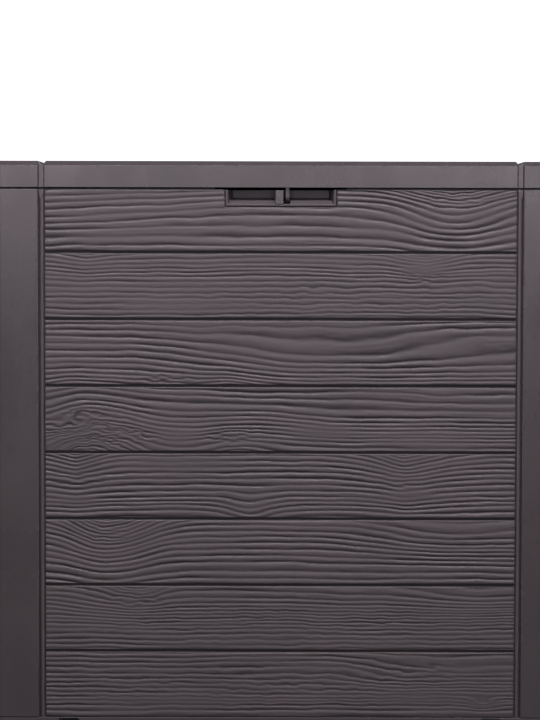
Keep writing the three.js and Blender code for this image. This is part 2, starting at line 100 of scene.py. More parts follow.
# ------------------------------------------------------- grain of moulded planks
# x runs along the plank, t is the depth below its top edge, both in millimetres.
# ("dip", x, left width, right width, depth, reach, power): rings cut by the top edge
# ("arch", ...): the same from the bottom edge
# ("ramp", x0, x1, drop, t, reach): lines step down from x0 to x1
# ("wave", x, width, drop, t, reach)   ("eye", x, t, rx, rt, strength): closed rings round a knot
# ("calm", x, t, rx, rt, strength): a smooth patch
# ("rough", x, t, rx, rt, a): a torn, tangled patch, as round a knot
FRONT_GRAIN = [
    dict(period=6.5, depth=0.80, seed=11, f=[
        ("ramp", -240, -40, -10, 15, 20), ("dip", 170, 50, 50, 30, 45, 2.0), ("rough", 170, 10, 30, 10, 2.5),
        ("calm", -150, 0, 90, 10, 0.75)]),
    dict(period=4.8, depth=0.50, seed=12, f=[
        ("dip", -190, 20, 30, 8, 15, 1.5), ("dip", 140, 30, 30, 16, 15, 1.8), ("rough", 140, 20, 20, 10, 3),
        ("rough", 50, 45, 190, 20, 1), ("calm", 140, 15, 20, 5, 0.9), ("calm", -90, 50, 120, 10, 0.5)]),
    dict(period=6.3, depth=0.78, seed=13, f=[
        ("ramp", -170, 30, 20, 40, 25), ("ramp", 60, 240, -10, 25, 25), ("arch", -200, 30, 60, 10, 10, 2.0),
        ("arch", -50, 20, 30, 10, 10, 1.6), ("rough", -110, 60, 30, 10, 2.5), ("calm", -60, 5, 150, 5, 0.6),
        ("calm", 60, 60, 40, 5, 0.6)]),
    dict(period=5.5, depth=0.82, seed=14, f=[
        ("arch", -190, 30, 50, 35, 40, 2.0), ("arch", -45, 30, 40, 12, 15, 1.8), ("eye", -200, 40, 20, 10, 12),
        ("rough", -190, 40, 35, 20, 4), ("rough", -150, 50, 30, 10, 3), ("rough", -45, 50, 30, 10, 2.5),
        ("ramp", -20, 60, 6, 25, 20), ("calm", -100, 50, 25, 10, 0.9), ("calm", 40, 45, 30, 10, 0.85),
        ("calm", 140, 50, 60, 10, 0.7)]),
    dict(period=5.6, depth=0.80, seed=15, f=[
        ("dip", -200, 25, 25, 20, 25, 1.4), ("dip", 120, 30, 45, 25, 30, 1.4), ("wave", -30, 25, 8, 60, 20),
        ("rough", -200, 25, 20, 10, 2), ("rough", 120, 25, 20, 10, 2), ("calm", 130, 40, 25, 5, 0.9),
        ("calm", -200, 45, 25, 5, 0.75), ("calm", -100, 10, 60, 10, 0.7)]),
    dict(period=6.0, depth=0.78, seed=16, f=[
        ("dip", -170, 35, 45, 35, 40, 2.0), ("ramp", 40, 170, 12, 20, 20), ("rough", -170, 15, 20, 10, 2.5),
        ("calm", 50, 5, 90, 5, 0.6), ("calm", 190, 10, 50, 5, 0.65)]),
    dict(period=4.8, depth=0.52, seed=17, f=[
        ("ramp", -230, -160, 8, 15, 20), ("dip", -140, 25, 25, 15, 15, 2.0), ("rough", -140, 15, 25, 10, 2.5),
        ("rough", 20, 40, 230, 20, 1), ("ramp", 90, 210, 8, 10, 15), ("calm", 30, 55, 150, 8, 0.6)]),
    dict(period=4.9, depth=0.52, seed=18, f=[
        ("ramp", 50, 120, 10, 20, 15), ("rough", 140, 20, 30, 10, 1.5), ("rough", 0, 35, 240, 25, 1),
        ("eye", 200, 50, 12, 6, 8), ("calm", 130, 45, 50, 8, 0.6), ("calm", -110, 50, 70, 8, 0.55)]),
]


def random_grain(seed, half, height):
    """A plank's features drawn from a seed, for the walls that repeat the front's style."""
    r = np.random.default_rng(seed)
    f = []
    x = -half + r.uniform(10, 80)
    while x < half - 20:
        kind = r.choice(["dip", "arch", "ramp", "wave", "eye", "calm"], p=[0.24, 0.18, 0.24, 0.14, 0.08, 0.12])
        if kind in ("dip", "arch"):
            a = r.uniform(9, 34)
            f.append((kind, x, r.uniform(22, 46), r.uniform(22, 50), a, a * r.uniform(0.95, 1.4), r.uniform(1.4, 2.1)))
        elif kind == "ramp":
            f.append((kind, x - 60, x + r.uniform(40, 110), r.uniform(6, 16) * r.choice([-1, 1]), r.uniform(10, height - 10), r.uniform(18, 28)))
        elif kind == "wave":
            f.append((kind, x, r.uniform(14, 50), r.uniform(2, 5) * r.choice([-1, 1]), r.uniform(10, height - 10), r.uniform(10, 22)))
        elif kind == "eye":
            f.append((kind, x, r.uniform(20, height - 20), r.uniform(14, 22), r.uniform(8, 12), r.uniform(10, 16)))
        f.append(("calm", x + r.uniform(-60, 60), r.uniform(0, height), r.uniform(30, 90), r.uniform(5, 10), r.uniform(0.4, 0.8)))
        x += r.uniform(70, 190)
    return dict(period=r.uniform(5.0, 7.0), depth=r.uniform(0.5, 0.8), seed=int(r.integers(20, 240)), f=f)


def grain(x, t, height, spec):
    """Depth of the relief in millimetres, its 0..1 valley mask and the ring phase."""
    shift = np.zeros(np.broadcast(x, t).shape)
    amp = np.ones_like(shift)
    for k in spec["f"]:
        if k[0] in ("dip", "arch"):
            _, xc, wl, wr, a, reach, pw = k
            g = np.exp(-np.abs((x - xc) / np.where(x < xc, wl, wr)) ** pw)
            if k[0] == "dip":
                shift = shift + a * g * np.exp(-t / reach)
            else:
                shift = shift - a * g * np.exp(-(height - t) / reach)
        elif k[0] == "ramp":
            _, x0, x1, a, tc, reach = k
            shift = shift + a * sstep((x - x0) / (x1 - x0)) * np.exp(-((t - tc) / reach) ** 2)
        elif k[0] == "wave":
            _, xc, w, a, tc, reach = k
            shift = shift + a * np.exp(-((x - xc) / w) ** 2 - ((t - tc) / reach) ** 2)
        elif k[0] == "eye":
            _, xc, tc, rx, rt, b = k
            shift = shift + b * np.exp(-((x - xc) / rx) ** 2 - ((t - tc) / rt) ** 2)
        elif k[0] == "rough":
            _, xc, tc, rx, rt, b = k
            near = np.exp(-(((x - xc) / rx) ** 2 + ((t - tc) / rt) ** 2) ** 2)
            shift = shift + b * near * (vnoise(x / 8.5 + 0.4, t / 6.5 + 3.3, spec["seed"] + 21)
                                        + 0.45 * vnoise(x / 3.9 + 5.4, t / 3.1 + 1.3, spec["seed"] + 22))
        elif k[0] == "calm":
            _, xc, tc, rx, rt, b = k
            amp = amp * (1 - b * np.exp(-(((x - xc) / rx) ** 2 + ((t - tc) / rt) ** 2) ** 1.5))
    s = spec["seed"]
    psi = t - shift
    psi = psi + 1.5 * vnoise(x / 88 + 3.1, t / 30 + 7.7, s) + 0.6 * vnoise(x / 30 + 1.7, t / 11 + 2.3, s + 1)
    psi = psi + 0.32 * vnoise(x / 13 + 5.2, t / 4.2 + 9.1, s + 2) + 0.12 * vnoise(x / 4.6 + 2.2, t / 2.1 + 6.1, s + 12)
    psi = psi + 80
    phase = psi / spec["period"] + 0.5 * vnoise(psi / 15.0, s * 0.37, s + 3)
    line = np.floor(phase)
    fr = phase - line
    strength = 0.5 + 0.5 * vnoise(line * 3.71 + 0.5, x / 62 + line * 1.3, s + 4)
    strength = strength * (0.80 + 0.34 * vnoise(line * 5.13 + 1.5, x / 17 + line * 2.1, s + 7))
    strength = 0.30 + 0.70 * sstep(strength * 1.3)
    valley = np.exp(-np.abs((fr - 0.5) / 0.155) ** 1.6)
    # a finer, broken set of lines between the bold ones
    fine = phase * 2 + 0.5
    fline = np.floor(fine)
    ff = fine - fline
    fs = sstep(0.15 + 0.9 * vnoise(fline * 2.39 + 0.5, x / 38 + fline * 0.7, s + 5))
    fvalley = np.exp(-np.abs((ff - 0.5) / 0.2) ** 1.7) * fs
    crest = 0.5 - 0.5 * np.cos(2 * np.pi * fr)
    patch = 0.78 + 0.22 * vnoise(x / 70 + 4.4, t / 18 + 8.8, s + 6)
    bold = valley * strength
    soft = fvalley * (1 - 0.6 * valley)
    m = (bold * 0.62 + soft * 0.24 + crest * (0.18 + 0.30 * strength)) * amp * patch
    # the valley mask, kept as the relief attribute; the plank material paints shade into the valleys with it
    dark = (bold + 0.32 * soft) * amp * patch
    return 2.15 * spec["depth"] * m, np.clip(dark, 0, 1), phase


def spread(lo, hi, gap_at, extra=(), first=(0.0, 0.12, 0.34, 0.66, 1.05)):
    """Grid positions from lo to hi with a local spacing, and close rows at both ends and at the extra places."""
    pins = sorted(set([lo, hi] + [e for e in extra if lo < e < hi]))
    out = []
    for a, b in zip(pins, pins[1:]):
        head = [a + d for d in first]
        tail = [b - d for d in reversed(first)]
        x = head[-1] + 0.4
        inner = []
        while x < tail[0] - 0.4:
            inner.append(x)
            x += gap_at(x)
        if inner:
            end = inner[-1]
            span0, span1 = head[-1], tail[0]
            n = len(inner)
            w = np.array([span0] + inner)
            w = (w - w[0]) / (end + gap_at(end) - w[0])
            inner = list(span0 + (span1 - span0) * w[1:])
        out += head + inner + tail
    return np.array(sorted(set(round(v, 4) for v in out)))


EDGE_R = 1.25
BACK_V = 4.3


def plank_mesh(parts, half, z_top, height, spec, row_gap, col_gap, notches=(), face=FACE_V, floor=SHEET_V0, back=BACK_V):
    """Adds one plank as a closed shell: a dense moulded face, short sides and a flat back. Notches are (x0, x1, depth)."""
    def gap_at(x):
        t = np.linspace(1, height - 1, 24)
        p = [grain(np.full_like(t, x + d), t, height, spec)[2] for d in (-1.5, 1.5)]
        tilt = np.percentile(np.abs(p[1] - p[0]) / 3.0 * spec["period"], 85)
        return float(np.clip(col_gap / (0.25 + 1.25 * tilt), 0.5 * col_gap, 1.35 * col_gap))

    xs = spread(-half, half, gap_at, [n[0] for n in notches] + [n[1] for n in notches])
    ts = spread(0.0, height, lambda _: row_gap, [n[2] for n in notches])
    nx, nt = len(xs), len(ts)
    x, t = np.meshgrid(xs, ts)
    d = np.minimum(np.minimum(x + half, half - x), np.minimum(t, height - t))
    cell = np.ones((nt - 1, nx - 1), bool)
    for a, b, depth in notches:
        gx = np.maximum(np.maximum(a - x, x - b), 0)
        gt = np.maximum(t - depth, 0)
        d = np.where((gx == 0) & (gt == 0), 0, np.minimum(d, np.hypot(gx, gt)))
        mx, mt = (xs[:-1] + xs[1:]) / 2, (ts[:-1] + ts[1:]) / 2
        cell &= ~((mx[None, :] > a) & (mx[None, :] < b) & (mt[:, None] < depth))
    relief, mask, phase = grain(x, t, height, spec)
    # the corners of a worn mould are not perfectly even
    radius = EDGE_R * (1 + 0.18 * vnoise(x / 14 + 2.2, t / 14 + 6.1, spec["seed"] + 7))
    e = 1 - np.clip(d / radius, 0, 1)
    v = face + (floor - face) * (1 - np.sqrt(np.clip(1 - e * e, 0, 1)))
    v = v + relief * (0.35 + 0.65 * sstep(d / 1.4))
    v = np.maximum(v, face)
    base = sum(len(p["co"]) for p in parts)
    index = np.full((nt, nx), -1)
    used = np.zeros((nt, nx), bool)
    used[:-1, :-1] |= cell
    used[1:, :-1] |= cell
    used[:-1, 1:] |= cell
    used[1:, 1:] |= cell
    index[used] = np.arange(used.sum())
    co = np.stack([x[used], v[used], z_top - t[used]], 1)
    r, c = np.nonzero(cell)
    quads = np.stack([index[r, c], index[r + 1, c], index[r + 1, c + 1], index[r, c + 1]], 1)
    # rim: directed boundary edges, each traced once
    edges = np.concatenate([quads[:, [0, 1]], quads[:, [1, 2]], quads[:, [2, 3]], quads[:, [3, 0]]])
    seen = set(map(tuple, edges))
    nxt = {a: b for a, b in map(tuple, edges) if (b, a) not in seen}
    start = next(iter(nxt))
    loop = [start]
    while nxt[loop[-1]] != start:
        loop.append(nxt[loop[-1]])
    ring = np.array(loop)
    n = len(co)
    low = co[ring].copy()
    low[:, 1] = back
    k = np.arange(len(ring))
    k2 = (k + 1) % len(ring)
    sides = np.stack([ring[k2], ring[k], n + k, n + k2], 1)
    parts.append(dict(co=np.concatenate([co, low]), quads=np.concatenate([quads, sides]) + base, front=len(quads),
                      back=list(n + k + base)[::-1], rim=ring + base, low=n + k + base,
                      relief=np.concatenate([mask[used], np.zeros(len(ring))]),
                      gph=np.concatenate([phase[used], np.zeros(len(ring))]),
                      seed=np.full(n + len(ring), spec["seed"] * 0.137)))


def planks_object(name, parts, place, uv_box, material):
    co = np.concatenate([p["co"] for p in parts])
    quads = np.concatenate([p["quads"] for p in parts])
    backs = [p["back"] for p in parts]
    me = bpy.data.meshes.new(name)
    loops = np.concatenate([quads.ravel()] + [np.array(b) for b in backs])
    sizes = np.concatenate([np.full(len(quads), 4), [len(b) for b in backs]])
    starts = np.concatenate([[0], np.cumsum(sizes)[:-1]])
    w = place(co[:, 0], co[:, 1], co[:, 2]) * MM
    me.vertices.add(len(w))
    me.vertices.foreach_set("co", w.astype(np.float32).ravel())
    me.loops.add(len(loops))
    me.loops.foreach_set("vertex_index", loops.astype(np.int32))
    me.polygons.add(len(sizes))
    me.polygons.foreach_set("loop_start", starts.astype(np.int32))
    me.update(calc_edges=True)
    me.validate()
    smooth = np.ones(len(me.polygons), bool)
    smooth[len(quads):] = False
    me.polygons.foreach_set("use_smooth", smooth)
    rim = np.zeros(len(co), bool)
    low = np.zeros(len(co), bool)
    for p in parts:
        rim[p["rim"]] = True
        low[p["low"]] = True
    ev = np.zeros(len(me.edges) * 2, np.int32)
    me.edges.foreach_get("vertices", ev)
    a, b = ev[0::2], ev[1::2]
    sharp = me.attributes.get("sharp_edge") or me.attributes.new("sharp_edge", "BOOLEAN", "EDGE")
    sharp.data.foreach_set("value", (rim[a] & rim[b]) | (low[a] & low[b]))
    for key in ("relief", "gph", "seed"):
        at = me.attributes.new(key, "FLOAT", "POINT")
        at.data.foreach_set("value", np.concatenate([p[key] for p in parts]).astype(np.float32))
    # one flat map over the whole face; backs share one small corner
    x0, x1, z0, z1 = uv_box
    u = 0.004 + 0.985 * (co[:, 0] - x0) / (x1 - x0)
    t = 0.004 + 0.985 * (co[:, 2] - z0) / (z1 - z0)
    uv = np.stack([u[loops], t[loops]], 1)
    nq = len(quads) * 4
    uv[nq:] = 0.993 + 0.006 * uv[nq:]
    layer = me.uv_layers.new(name="OFBake")
    layer.data.foreach_set("uv", uv.astype(np.float32).ravel())
    me.materials.append(material)
    o = bpy.data.objects.new(name, me)
    bpy.context.scene.collection.objects.link(o)
    return o


# ------------------------------------------------------------- plain solid tools
def solid(name, verts, faces):
    me = bpy.data.meshes.new(name)
    me.from_pydata([tuple(c * MM for c in v) for v in verts], [], faces)
    me.update()
    o = bpy.data.objects.new(name, me)
    bpy.context.scene.collection.objects.link(o)
    return o


def prism(name, outline, level0, level1, place):
    """A closed prism of an outline (a, b) between two levels; place(a, b, level) gives x, y, z in millimetres."""
    area = sum(p[0] * q[1] - q[0] * p[1] for p, q in zip(outline, outline[1:] + outline[:1]))
    pts = outline if area > 0 else outline[::-1]
    n = len(pts)
    verts = [place(a, b, level0) for a, b in pts] + [place(a, b, level1) for a, b in pts]
    faces = [list(range(n))[::-1], list(range(n, 2 * n))]
    faces += [[i, (i + 1) % n, n + (i + 1) % n, n + i] for i in range(n)]
    o = solid(name, verts, faces)
    fix_normals(o)
    return o


def fix_normals(o):
    import bmesh
    bm = bmesh.new()
    bm.from_mesh(o.data)
    bmesh.ops.recalc_face_normals(bm, faces=bm.faces)
    bm.to_mesh(o.data)
    bm.free()


def box_solid(name, x0, x1, y0, y1, z0, z1):
    return prism(name, [(x0, y0), (x1, y0), (x1, y1), (x0, y1)], z0, z1, lambda a, b, c: (a, b, c))


def combine(o, others, operation):
    """Boolean of o with each of the others, kept as o's plain mesh; the others go."""
    for c in others:
        m = o.modifiers.new("b", "BOOLEAN")
        m.operation = operation
        m.solver = "EXACT"
        m.object = c
    dg = bpy.context.evaluated_depsgraph_get()
    me = bpy.data.meshes.new_from_object(o.evaluated_get(dg), depsgraph=dg)
    o.modifiers.clear()
    o.data = me
    for c in others:
        bpy.data.objects.remove(c)
    return o


def finish_edges(o, width=0.5, segments=2, angle=30, dissolve=True, weld=True, clamp=True):
    """Softens the hard edges of a moulded piece, as modifiers."""
    if weld:
        m = o.modifiers.new("weld", "WELD")
        m.merge_threshold = 2e-5
    if dissolve:
        m = o.modifiers.new("flat", "DECIMATE")
        m.decimate_type = "DISSOLVE"
        m.angle_limit = math.radians(0.6)
        m.delimit = {"MATERIAL"}
    m = o.modifiers.new("bevel", "BEVEL")
    m.width = width * MM
    m.segments = segments
    m.limit_method = "ANGLE"
    m.angle_limit = math.radians(angle)
    m.use_clamp_overlap = clamp
    m.miter_outer = "MITER_ARC"
    m = o.modifiers.new("normals", "WEIGHTED_NORMAL")
    m.keep_sharp = True
    m.weight = 80
    o.data.polygons.foreach_set("use_smooth", np.ones(len(o.data.polygons), bool))


# --------------------------------------------------------------------- materials
def new_material(name):
    m = bpy.data.materials.new(name)
    m.use_nodes = True
    nt = m.node_tree
    return m, nt, nt.nodes["Principled BSDF"]


class Net:
    """Short forms for building a node tree."""

    def __init__(self, nt):
        self.nt = nt

    def node(self, kind, **sets):
        n = self.nt.nodes.new(kind)
        for k, v in sets.items():
            setattr(n, k, v)
        return n

    def link(self, a, b):
        self.nt.links.new(a, b)

    def put(self, value, socket):
        if hasattr(value, "is_linked"):
            self.link(value, socket)
        else:
            socket.default_value = value

    def math(self, op, a, b=0.0, c=None, clamp=False):
        n = self.node("ShaderNodeMath", operation=op, use_clamp=clamp)
        self.put(a, n.inputs[0])
        self.put(b, n.inputs[1])
        if c is not None:
            self.put(c, n.inputs[2])
        return n.outputs[0]

    def ramp(self, value, a, b, lo=0.0, hi=1.0):
        n = self.node("ShaderNodeMapRange", interpolation_type="SMOOTHSTEP")
        self.put(value, n.inputs[0])
        for i, v in zip((1, 2, 3, 4), (a, b, lo, hi)):
            n.inputs[i].default_value = v
        return n.outputs[0]

    def noise(self, vector, scale, detail=3.0, rough=0.5, distort=0.0):
        n = self.node("ShaderNodeTexNoise")
        self.put(vector, n.inputs["Vector"])
        n.inputs["Scale"].default_value = scale
        n.inputs["Detail"].default_value = detail
        n.inputs["Roughness"].default_value = rough
        n.inputs["Distortion"].default_value = distort
        return n.outputs[0]

    def stretch(self, vector, sx, sy, sz):
        n = self.node("ShaderNodeMapping")
        self.put(vector, n.inputs[0])
        n.inputs["Scale"].default_value = (sx, sy, sz)
        return n.outputs[0]

    def mix(self, fac, a, b):
        n = self.node("ShaderNodeMix", data_type="RGBA", clamp_factor=True)
        self.put(fac, n.inputs[0])
        self.put(a, n.inputs[6])
        self.put(b, n.inputs[7])
        return n.outputs[2]

    def bump(self, height, strength, distance, normal=None):
        n = self.node("ShaderNodeBump")
        self.put(height, n.inputs["Height"])
        n.inputs["Strength"].default_value = strength
        n.inputs["Distance"].default_value = distance
        if normal is not None:
            self.link(normal, n.inputs["Normal"])
        return n.outputs[0]

    def object_coords(self):
        n = self.node("ShaderNodeTexCoord")
        return n.outputs["Object"], n.outputs["Normal"]

    def edges(self, radius):
        """1 on convex and concave edges, 0 on flats."""
        bev = self.node("ShaderNodeBevel", samples=6)
        bev.inputs["Radius"].default_value = radius
        geo = self.node("ShaderNodeNewGeometry")
        dot = self.node("ShaderNodeVectorMath", operation="DOT_PRODUCT")
        self.link(bev.outputs[0], dot.inputs[0])
        self.link(geo.outputs["Normal"], dot.inputs[1])
        return self.math("SUBTRACT", 1.0, dot.outputs["Value"], clamp=True)


def rgb(r, g, b):
    return (r, g, b, 1.0)


TAUPE = (0.094, 0.077, 0.0875)


SHEEN = (1.0, 0.89, 0.955, 1.0)


def tone(k, warm=0.0):
    return rgb(TAUPE[0] * k * (1 + warm), TAUPE[1] * k, TAUPE[2] * k * (1 - warm))


def smooth_resin(name, k=1.0, rough=0.36, peel=1.0):
    m, nt, p = new_material(name)
    n = Net(nt)
    pos, nor = n.object_coords()
    cloud = n.noise(pos, 7.0, 4.0, 0.55)
    flow = n.noise(n.stretch(pos, 46, 46, 3.2), 1.0, 3.0, 0.5, 0.4)
    speck = n.noise(pos, 620.0, 2.0, 0.6)
    col = n.mix(n.ramp(cloud, 0.3, 0.7), tone(k * 0.93, -0.012), tone(k * 1.07, 0.012))
    col = n.mix(n.math("MULTIPLY", n.ramp(flow, 0.35, 0.75), 0.35), col, tone(k * 1.10))
    col = n.mix(n.math("MULTIPLY", n.ramp(speck, 0.55, 0.85), 0.10), col, tone(k * 1.35))
    # painted highlight along the edges, partly edge wear: convex and concave edges lighten to twice the tone, broken by
    # noise
    edge = n.ramp(n.edges(0.0014), 0.01, 0.18)
    wear_and_edge_highlight = n.math("MULTIPLY", edge, n.ramp(n.noise(pos, 42.0, 3.0, 0.5), 0.25, 0.75, 0.5, 0.85))
    col = n.mix(n.math("MULTIPLY", wear_and_edge_highlight, 0.85), col, tone(k * 2.0))
    sep = n.node("ShaderNodeSeparateXYZ")
    n.link(nor, sep.inputs[0])
    up = n.ramp(sep.outputs[2], 0.80, 0.99)
    dust = n.math("MULTIPLY", up, n.ramp(n.noise(pos, 24.0, 5.0, 0.62), 0.3, 0.75, 0.1, 0.42))
    col = n.mix(dust, col, rgb(0.20, 0.185, 0.175))
    n.put(col, p.inputs["Base Color"])
    r = n.ramp(n.noise(pos, 15.0, 5.0, 0.6), 0.25, 0.75, rough - 0.05, rough + 0.06)
    r = n.math("ADD", r, n.math("MULTIPLY", n.ramp(flow, 0.3, 0.8), 0.04))
    r = n.math("ADD", r, n.math("MULTIPLY", dust, 0.35))
    n.put(r, p.inputs["Roughness"])
    peel1 = n.noise(pos, 330.0, 2.0, 0.5)
    peel2 = n.noise(pos, 1500.0, 2.0, 0.5)
    sink = n.noise(n.stretch(pos, 9, 9, 5), 1.0, 2.0, 0.5)
    nrm = n.bump(sink, 0.22, 0.0010)
    nrm = n.bump(peel1, 0.07 * peel, 0.0005, nrm)
    nrm = n.bump(peel2, 0.07 * peel, 0.00012, nrm)
    n.link(nrm, p.inputs["Normal"])
    p.inputs["IOR"].default_value = 1.5
    p.inputs["Specular Tint"].default_value = SHEEN
    return m


def plank_resin(name, k=1.0, rough=0.5, along=(1, 0, 0)):
    m, nt, p = new_material(name)
    n = Net(nt)
    pos, nor = n.object_coords()
    relief = n.node("ShaderNodeAttribute", attribute_name="relief").outputs["Fac"]
    gph = n.node("ShaderNodeAttribute", attribute_name="gph").outputs["Fac"]
    seed = n.node("ShaderNodeAttribute", attribute_name="seed").outputs["Fac"]
    dot = n.node("ShaderNodeVectorMath", operation="DOT_PRODUCT")
    n.link(pos, dot.inputs[0])
    dot.inputs[1].default_value = along
    run = dot.outputs["Value"]

    def grain_space(per_metre, per_ring):
        c = n.node("ShaderNodeCombineXYZ")
        n.link(n.math("MULTIPLY", run, per_metre), c.inputs[0])
        n.link(n.math("MULTIPLY", gph, per_ring), c.inputs[1])
        n.link(n.math("MULTIPLY", seed, 17.0), c.inputs[2])
        return c.outputs[0]

    fibre = n.noise(grain_space(52.0, 5.0), 1.0, 4.0, 0.6)
    fibre2 = n.noise(grain_space(160.0, 14.0), 1.0, 3.0, 0.55)
    broad = n.noise(grain_space(7.0, 0.55), 1.0, 3.0, 0.5)
    cloud = n.noise(pos, 9.0, 4.0, 0.55)
    col = n.mix(n.ramp(cloud, 0.3, 0.7), tone(k * 0.92, -0.02), tone(k * 1.07, 0.015))
    col = n.mix(n.math("MULTIPLY", n.ramp(broad, 0.3, 0.72), 0.5), col, tone(k * 1.15, 0.01))
    col = n.mix(n.math("MULTIPLY", n.ramp(fibre, 0.45, 0.8), 0.30), col, tone(k * 1.22))
    # painted shade: the grain valleys darken towards a third of the tone, standing for the shade in them, with a little
    # dirt
    col = n.mix(n.ramp(relief, 0.10, 0.70, 0.0, 0.80), col, tone(k * 0.34))
    crest = n.math("MULTIPLY", n.ramp(relief, 0.0, 0.16, 1.0, 0.0), n.ramp(fibre2, 0.4, 0.7, 0.2, 1.0))
    col = n.mix(n.math("MULTIPLY", crest, 0.30), col, tone(k * 1.38))
    sep = n.node("ShaderNodeSeparateXYZ")
    n.link(nor, sep.inputs[0])
    dust = n.math("MULTIPLY", n.ramp(sep.outputs[2], 0.7, 1.0), n.ramp(n.noise(pos, 22.0, 5.0, 0.62), 0.3, 0.75, 0.08, 0.36))
    col = n.mix(dust, col, rgb(0.20, 0.185, 0.175))
    n.put(col, p.inputs["Base Color"])
    r = n.ramp(fibre, 0.25, 0.8, rough - 0.07, rough + 0.08)
    r = n.math("ADD", r, n.ramp(relief, 0.1, 0.8, 0.0, 0.14))
    r = n.math("ADD", r, n.math("MULTIPLY", dust, 0.3), clamp=True)
    n.put(r, p.inputs["Roughness"])
    nrm = n.bump(fibre, 0.42, 0.00035)
    nrm = n.bump(fibre2, 0.30, 0.00015, nrm)
    nrm = n.bump(n.noise(pos, 900.0, 2.0, 0.5), 0.10, 0.00012, nrm)
    n.link(nrm, p.inputs["Normal"])
    p.inputs["IOR"].default_value = 1.5
    p.inputs["Specular Tint"].default_value = SHEEN
    return m


def zinc_steel(name):
    m, nt, p = new_material(name)
    n = Net(nt)
    pos, _ = n.object_coords()
    spangle = n.noise(pos, 420.0, 3.0, 0.6)
    turned = n.noise(n.stretch(pos, 1400, 90, 90), 1.0, 3.0, 0.6)
    grime = n.ramp(n.noise(pos, 150.0, 4.0, 0.62), 0.5, 0.75)
    col = n.mix(n.ramp(spangle, 0.3, 0.7), rgb(0.44, 0.45, 0.47), rgb(0.62, 0.62, 0.61))
    col = n.mix(n.math("MULTIPLY", grime, 0.45), col, rgb(0.20, 0.185, 0.165))
    n.put(col, p.inputs["Base Color"])
    p.inputs["Metallic"].default_value = 1.0
    r = n.math("ADD", n.ramp(spangle, 0.25, 0.75, 0.26, 0.42), n.math("MULTIPLY", grime, 0.18))
    n.put(r, p.inputs["Roughness"])
    nrm = n.bump(turned, 0.22, 0.0002)
    nrm = n.bump(spangle, 0.12, 0.0001, nrm)
    n.link(nrm, p.inputs["Normal"])
    return m


def stone_floor(name):
    m, nt, p = new_material(name)
    n = Net(nt)
    pos, _ = n.object_coords()
    c = n.noise(pos, 1.7, 5.0, 0.55)
    pale = n.mix(n.ramp(c, 0.3, 0.7), rgb(0.74, 0.735, 0.725), rgb(0.80, 0.795, 0.79))
    path = n.node("ShaderNodeLightPath")
    n.put(n.mix(path.outputs["Is Camera Ray"], rgb(0.07, 0.068, 0.066), pale), p.inputs["Base Color"])
    far = n.node("ShaderNodeVectorMath", operation="LENGTH")
    n.link(pos, far.inputs[0])
    glow = n.ramp(far.outputs["Value"], 0.9, 4.2, 0.22, 1.1)      # the sweep runs out to white
    # the glow fades out within about half a metre of the box, so the floor round and under it reads darker: a painted
    # contact shade
    glow = n.math("MULTIPLY", glow, n.ramp(far.outputs["Value"], 0.26, 0.62))
    p.inputs["Emission Color"].default_value = (1, 1, 1, 1)
    n.put(n.math("MULTIPLY", glow, path.outputs["Is Camera Ray"]), p.inputs["Emission Strength"])
    n.put(n.ramp(n.noise(pos, 40.0, 4.0, 0.6), 0.3, 0.7, 0.55, 0.75), p.inputs["Roughness"])
    n.link(n.bump(n.noise(pos, 300.0, 3.0, 0.55), 0.15, 0.0004), p.inputs["Normal"])
    return m


M_PLANK_X = plank_resin("resin_plank_x", 0.86, 0.48, (1, 0, 0))
M_PLANK_Y = plank_resin("resin_plank_y", 0.86, 0.48, (0, 1, 0))
M_SHEET = smooth_resin("resin_sheet", 0.92, 0.40)
# a near-black copy of the resin: painted shade for the recessed gaps between and beside the planks, with a little dirt
M_GROOVE_SHADE = smooth_resin("resin_groove_shade", 0.30, 0.70)
M_SMOOTH = smooth_resin("resin_smooth", 0.67, 0.26)
M_SMOOTH.node_tree.nodes["Principled BSDF"].inputs["IOR"].default_value = 1.62
M_INNER = smooth_resin("resin_inner", 0.80, 0.46, 1.4)
M_BASE = smooth_resin("resin_base", 0.66, 0.50, 1.6)
M_STEEL = zinc_steel("zinc_steel")


# -------------------------------------------------------------------- wall panels
WALLS = {
    "front": (lambda x, v, z: np.stack([x, Y_FRONT + v, z], -1), OPEN_X, M_PLANK_X),
    "rear": (lambda x, v, z: np.stack([-x, Y_REAR - v, z], -1), OPEN_X, M_PLANK_X),
    "right": (lambda x, v, z: np.stack([HALF_W - v, Y_MID + x, z], -1), OPEN_Y, M_PLANK_Y),
    "left": (lambda x, v, z: np.stack([-HALF_W + v, Y_MID - x, z], -1), OPEN_Y, M_PLANK_Y),
}
HINGE_NOTCH = 32.0
HINGE_NOTCH_Z = 516.3


def spot(place, x, v, z):
    return tuple(float(c) for c in place(np.array(float(x)), np.array(float(v)), np.array(float(z))))


